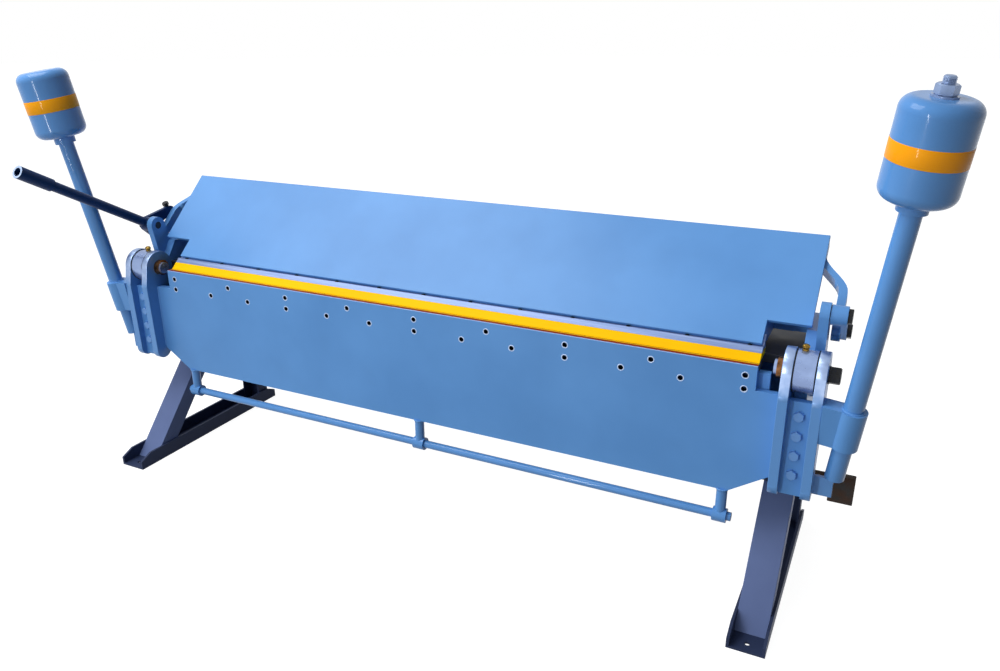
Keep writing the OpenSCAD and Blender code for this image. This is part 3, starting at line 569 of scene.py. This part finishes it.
# Dark rings between the hubs and the cheeks, painted shade for the gaps there: a round bead, a little clear of the
# cheek
GAP_SHADE_R, GAP_SHADE_CLEAR = 1.6, 0.3
gap_shade_angle = round_angles(12).T
gap_shade_ring = np.hstack([HUB_R + GAP_SHADE_R * np.cos(gap_shade_angle), GAP_SHADE_R * np.sin(gap_shade_angle)])
gap_shade = []
for side in SIDES:
    for x in (X_HUB0 + GAP_SHADE_R + GAP_SHADE_CLEAR, X_HUB1 - GAP_SHADE_R - GAP_SHADE_CLEAR):
        gap_shade.append(at(lathe(mirrored((x, 0, 0), side), mirrored(OUTWARD, side), gap_shade_ring, 96)))
show("hub_gap_shade", gap_shade, black_oxide, "frame", wrap_rows=True)

# Painted bolts in the webs, in the paler paint of painted highlight
web_x = (X_HUB0 + X_HUB1) / 2
web_heads = [at(hex_head((x, WEB_FRONT, -WEB_BOLT_TOP - i * WEB_BOLT_PITCH), FRONT, WEB_FLATS, WEB_HEAD))
             for x in (-web_x, web_x) for i in range(WEB_BOLTS)]
web_hexes = show("web_bolt_heads", web_heads, highlit_bolt_enamel, "folding_leaf", smooth=False)
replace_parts(web_hexes, "web_bolts")

# Bolts that end the hinge pins, on washers with a chamfer
WASHER_CHAMFER = 1.0
washer = [[POLE_R, 0], [HINGE_WASHER_R, 0], [HINGE_WASHER_R, HINGE_WASHER_T - WASHER_CHAMFER],
          [HINGE_WASHER_R - WASHER_CHAMFER, HINGE_WASHER_T], [POLE_R, HINGE_WASHER_T]]
hinge_heads = []
for side in SIDES:
    outward = mirrored(OUTWARD, side)
    foot = outward * X_OUT
    hinge_heads.append(at(lathe(foot, outward, washer)))
    hinge_heads.append(at(hex_head(foot + outward * HINGE_WASHER_T, outward, HINGE_FLATS,
                                   HINGE_HEAD - HINGE_WASHER_T)))
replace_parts(show("hinge_bolt_heads", hinge_heads, black_oxide, "folding_leaf", smooth=False),
            "hinge_bolts")

# Adjusting screw, whose thread ends inside its head
adjuster = [at(thread(HORN, HORN_AXIS, ADJUST_R, -ADJUST_IN, ADJUST_OUT + 1, ADJUST_PITCH)),
            at(hex_head(HORN + HORN_AXIS * ADJUST_OUT, HORN_AXIS, 3 * ADJUST_R, ADJUST_HEAD))]
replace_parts(show("adjusting_screw", adjuster, black_oxide, "clamp_lever", smooth=False),
            "adjusting_bolt")

# Holes of the leaf: pairs, one above the other, and three between two pairs, the middle one higher
bay = HOLE_PITCH / 6
hole_places = [(i * HOLE_PITCH, -HOLE_TOP - row * HOLE_ROWS) for i in range(-2, 3) for row in (0, 1)]
hole_places += [((i + 0.5) * HOLE_PITCH + k * bay, -HOLE_TOP - abs(k) * HOLE_ROWS)
                for i in range(-2, 2) for k in (-1, 0, 1)]

# Rubbed rims of the holes, pale as wear and as painted highlight: from a thin outer edge over a raised flat and
# into the bore
RIM_W, RIM_SLANT, RIM_UP, RIM_IN, RIM_SUNK = 2.9, 0.7, 0.4, 0.2, 0.6
rim = [[HOLE_R + RIM_W, -0.1], [HOLE_R + RIM_W - RIM_SLANT, RIM_UP], [HOLE_R + 0.3, RIM_UP],
       [HOLE_R - RIM_IN, 0.1], [HOLE_R - RIM_IN, -RIM_SUNK]]
rims = [at(lathe((x, LEAF_FRONT, z), FRONT, rim, 32)) for x, z in hole_places]
show("hole_rims", rims, rubbed_and_highlit_edge, "folding_leaf", wrap_rows=True)

# Threads in the holes, black as painted shade inside the holes: roots and crests by turns, on a thin wall
TAP_DEPTH, TAP_STEP, TAP_ROOT, TAP_TOOTH, TAP_WALL = 18.0, 0.5, 0.3, 0.4, 0.15
teeth = [[HOLE_R - TAP_ROOT - TAP_TOOTH * (i % 2), -TAP_DEPTH + i * TAP_STEP]
         for i in range(int(TAP_DEPTH / TAP_STEP))]
tap = [[HOLE_R - TAP_WALL, -RIM_SUNK]] + teeth[::-1] + [[HOLE_R - TAP_WALL, -TAP_DEPTH]]
taps = [at(lathe((x, LEAF_FRONT, z), FRONT, tap, 24)) for x, z in hole_places]
show("shaded_hole_threads", taps, black_oxide, "folding_leaf", wrap_rows=True)

# Paint on the leaf's working edge: how high it stands, how far it laps behind, in front and down
EDGE_PAINT, EDGE_LIP, EDGE_FRONT, EDGE_DOWN = 0.8, 1.5, 0.3, 1.5
edge_section = [[LEAF_FRONT - EDGE_FRONT, -EDGE_DOWN], [LEAF_BACK + EDGE_LIP, -EDGE_DOWN],
                [LEAF_BACK + EDGE_LIP, -0.2], [LEAF_BACK - 0.5, 0.4], [LEAF_BACK - 1.5, EDGE_PAINT],
                [LEAF_FRONT + 1.0, EDGE_PAINT], [LEAF_FRONT - EDGE_FRONT, -0.5]]
LONG_STATIONS = 60
show("leaf_edge_paint", [carried(edge_section, -HALF, HALF, LONG_STATIONS)], edge_enamel,
     "folding_leaf", smooth=False)

# Lower lip of the nose blade, with a slanted front, which closes most of the gap above the bed
LIP_FRONT, LIP_BACK, LIP_FOOT, LIP_TOP, LIP_SLANT = 0.6, 3.0, 0.4, 2.4, 1.0
lip_section = [[LIP_FRONT, LIP_FOOT], [LIP_BACK, LIP_FOOT], [LIP_BACK, LIP_TOP],
               [LIP_FRONT + LIP_SLANT, LIP_TOP]]
show("nose_lip", [carried(lip_section, -HALF, HALF, LONG_STATIONS)], yellow_enamel,
     "clamp_beam", smooth=False)

# Ends of the beam's back plate, under its sloped top, which reach almost to the side frames
BACK_Y, BACK_T, BACK_FOOT, BACK_TOP, BACK_X0, BACK_X1 = 230.5, 11.0, 21.0, 200.5, 1070.0, 1116.0
back_rise = BACK_T * math.tan(math.radians(BEAM_SLOPE))
back_section = [[BACK_Y, BACK_FOOT], [BACK_Y + BACK_T, BACK_FOOT], [BACK_Y + BACK_T, BACK_TOP + back_rise],
                [BACK_Y, BACK_TOP]]
back_ends = [carried(back_section, BACK_X0, BACK_X1), carried(back_section, -BACK_X1, -BACK_X0)]
show("back_plate_ends", back_ends, blue_enamel, "clamp_beam", smooth=False)

# Socket screws of the blade holder, half under the lip of the sloped plate
SCREW_PITCH, SCREWS_A_SIDE, SCREW_Y, SCREW_Z = 165.0, 6, 41.0, 32.0
SCREW_R, SCREW_HEAD, SCREW_SUNK, SCREW_CHAMFER = 6.0, 2.0, 1.0, 0.6
SOCKET_R, SOCKET_FLOOR = 3.0, 0.5
screw = [[POLE_R, -SCREW_SUNK], [SCREW_R, -SCREW_SUNK], [SCREW_R, SCREW_HEAD - SCREW_CHAMFER],
         [SCREW_R - SCREW_CHAMFER, SCREW_HEAD], [SOCKET_R, SCREW_HEAD], [SOCKET_R, SOCKET_FLOOR],
         [POLE_R, SOCKET_FLOOR]]
screws = [at(lathe((i * SCREW_PITCH, SCREW_Y, SCREW_Z), UP, screw, 32))
          for i in range(-SCREWS_A_SIDE, SCREWS_A_SIDE + 1)]
show("holder_screws", screws, black_oxide, "clamp_beam", smooth=False)

# Welds of the arm sockets and the leaf's ends: how far a bead sits off its corner, and the leaf weld's ends
WELD_OFF, LEAF_WELD_TOP, LEAF_WELD_FOOT = 0.5, -70.0, -295.0
for side in SIDES:
    axis = mirrored(ARM_AXIS, side)
    rings = [bead(circle(mirrored(ARM_FOOT + ARM_AXIS * s, side), axis, ARM_R + WELD_OFF), closed=True)
             for s in (SOCKET_START - WELD_OFF, SOCKET_START + SOCKET_H + WELD_OFF)]
    show("socket_welds_" + side, rings, blue_enamel, "folding_leaf", wrap_rows=True)
    seam = bead(line(mirrored((X_IN, LEAF_FRONT, LEAF_WELD_TOP), side),
                     mirrored((X_IN, LEAF_FRONT, LEAF_WELD_FOOT), side)))
    show("leaf_weld_" + side, [seam], blue_enamel, "folding_leaf")

# Welds of the truss posts, under the leaf, and of the handle in its boss
HANDLE_WELD_OFF = 1.5
posts = [bead(circle((x, (LEAF_FRONT + LEAF_BACK) / 2, -LEAF_DROP - WELD_OFF), UP, POST_R), closed=True)
         for x in (-POST_X, 0.0, POST_X)]
show("post_welds", posts, blue_enamel, "folding_leaf", wrap_rows=True)
weld_middle = HANDLE_FOOT + HANDLE_AXIS * (BOSS_R + HANDLE_WELD_OFF)
collar = bead(circle(weld_middle, HANDLE_AXIS, HANDLE_R), closed=True)
show("handle_weld", [collar], navy_enamel, "clamp_lever", wrap_rows=True)

# Rubbed rim at the end of the handle's grip: its sunk foot, its worn corners and how proud it stands
GRIP_SUNK, GRIP_RUB, RUB_UP = 0.5, 0.6, 0.25
grip_rim = [[GRIP_R, -GRIP_SUNK], [GRIP_R, 0.0], [GRIP_R - GRIP_RUB, RUB_UP],
            [HANDLE_BORE + GRIP_RUB, RUB_UP], [HANDLE_BORE, 0.0], [HANDLE_BORE, -GRIP_SUNK]]
grip_end = at(lathe(HANDLE_FOOT + HANDLE_AXIS * HANDLE_REACH, HANDLE_AXIS, grip_rim, 48))
show("grip_rim", [grip_end], rubbed_and_highlit_edge, "clamp_lever", wrap_rows=True)

# Studio: a surround that is white to the camera and in reflections, and lights the part from the front left.
# Its light rises from low to high between two cosines of the angle to that direction.
WHITE = (1.0, 1.0, 1.0, 1.0)
FILL_LOW, FILL_HIGH = 0.06, 1.15
FILL_START, FILL_FULL = 0.15, 0.9
FILL_FROM = Vector((-0.80, -0.45, 0.40)).normalized()


def seen(tree):
    """1 for rays from the camera, in a reflection or through glass."""
    path = add(tree, "ShaderNodeLightPath")
    either = add(tree, "ShaderNodeMath", {0: path.outputs["Is Camera Ray"], 1: path.outputs["Is Glossy Ray"]},
                 operation="MAXIMUM")
    return add(tree, "ShaderNodeMath", {0: either.outputs[0], 1: path.outputs["Is Transmission Ray"]},
               operation="MAXIMUM").outputs[0]


world = bpy.data.worlds.new("studio")
scene.world = world
world.use_nodes = True
world_tree = world.node_tree
sky = add(world_tree, "ShaderNodeTexCoord").outputs["Generated"]
facing = add(world_tree, "ShaderNodeVectorMath", {0: sky}, operation="DOT_PRODUCT")
facing.inputs[1].default_value = FILL_FROM
fill = add(world_tree, "ShaderNodeMapRange", {"Value": facing.outputs["Value"]}, From_Min=FILL_START,
           From_Max=FILL_FULL, To_Min=FILL_LOW, To_Max=FILL_HIGH)
strength = add(world_tree, "ShaderNodeMapRange",
               {"Value": seen(world_tree), "To Min": fill.outputs["Result"]}, To_Max=1.0)
background = world_tree.nodes["Background"]
background.inputs["Color"].default_value = WHITE
world_tree.links.new(strength.outputs["Result"], background.inputs["Strength"])

# Floor, in metres: white to the camera, with a faint shadow, and darker to the light that bounces up from it
FLOOR_R, FLOOR_Z, FLOOR_SIDES = 40.0, -0.0005, 96
FLOOR_BOUNCE, FLOOR_GLOW, GLOW_STRENGTH = 0.2, 0.7, 1.36
floor_mesh = bpy.data.meshes.new("floor")
floor_ring = lathe((0, 0, 0), UP, [[FLOOR_R, FLOOR_Z]], FLOOR_SIDES)[0]
floor_mesh.from_pydata(floor_ring.tolist(), [], [list(range(FLOOR_SIDES))])
floor = bpy.data.objects.new("floor", floor_mesh)
scene.collection.objects.link(floor)
floor_paint = bpy.data.materials.new("white_floor")
floor_paint.use_nodes = True
floor_tree = floor_paint.node_tree
floor_shader = floor_tree.nodes["Principled BSDF"]
floor_seen = seen(floor_tree)
floor_colour = mix(floor_tree, floor_seen, grey(FLOOR_BOUNCE), WHITE)
floor_tree.links.new(floor_colour, floor_shader.inputs["Base Color"])
floor_shader.inputs["Roughness"].default_value = 1.0
floor_shader.inputs["Specular IOR Level"].default_value = 0.0
glow = add(floor_tree, "ShaderNodeEmission", Color=WHITE, Strength=GLOW_STRENGTH)
share = add(floor_tree, "ShaderNodeMath", {0: floor_seen}, operation="MULTIPLY")
share.inputs[1].default_value = FLOOR_GLOW
floor_mix = add(floor_tree, "ShaderNodeMixShader",
                {0: share.outputs[0], 1: floor_shader.outputs[0], 2: glow.outputs[0]})
floor_tree.links.new(floor_mix.outputs[0], floor_tree.nodes["Material Output"].inputs["Surface"])
floor_mesh.materials.append(floor_paint)


def soft_lamp(name, place, target, width, height, watts):
    """Rectangular area lamp, in metres, that looks at a target and isn't seen by the camera."""
    lamp = bpy.data.lights.new(name, "AREA")
    lamp.shape = "RECTANGLE"
    lamp.size = width
    lamp.size_y = height
    lamp.energy = watts
    holder = bpy.data.objects.new(name, lamp)
    holder.visible_camera = False
    aim = Vector(target) - Vector(place)
    holder.matrix_world = Matrix.Translation(place) @ aim.to_track_quat("-Z", "Y").to_matrix().to_4x4()
    scene.collection.objects.link(holder)


soft_lamp("overhead", place=(-1.9, -1.0, 4.2), target=(-0.2, 0, 0.85), width=2.6, height=2.6, watts=112)
soft_lamp("front_strip", place=(-0.8, -4.2, 1.05), target=(0.3, 0, 1.05), width=0.35, height=2.0, watts=48)

# Camera of the photograph: place in metres, angles in degrees, focal length and centre in its pixels
CAMERA_PLACE = (1.305, -2.1785, 1.519)
CAMERA_YAW, CAMERA_PITCH, CAMERA_ROLL = 26.31, 20.15, -0.27
FOCAL_PX = 833.2
IMAGE_W, IMAGE_H = 1000, 671
CENTRE_PX = (500.8, 329.6)
SENSOR_MM = 36.0
yaw, pitch, roll = (math.radians(angle) for angle in (CAMERA_YAW, CAMERA_PITCH, CAMERA_ROLL))
ahead = np.array([-math.sin(yaw) * math.cos(pitch), math.cos(yaw) * math.cos(pitch), -math.sin(pitch)])
level = np.array([math.cos(yaw), math.sin(yaw), 0])
right = math.cos(roll) * level + math.sin(roll) * np.cross(level, ahead)
turn = np.eye(4)
turn[:3, 0], turn[:3, 1], turn[:3, 2], turn[:3, 3] = right, np.cross(right, ahead), -ahead, CAMERA_PLACE
lens = bpy.data.cameras.new("camera")
lens.sensor_width = SENSOR_MM
lens.lens = FOCAL_PX * SENSOR_MM / IMAGE_W
lens.shift_x = (IMAGE_W / 2 - CENTRE_PX[0]) / IMAGE_W
lens.shift_y = (CENTRE_PX[1] - IMAGE_H / 2) / IMAGE_W
camera = bpy.data.objects.new("camera", lens)
camera.matrix_world = Matrix(turn.tolist())
scene.collection.objects.link(camera)
scene.camera = camera
scene.view_settings.view_transform = "Standard"
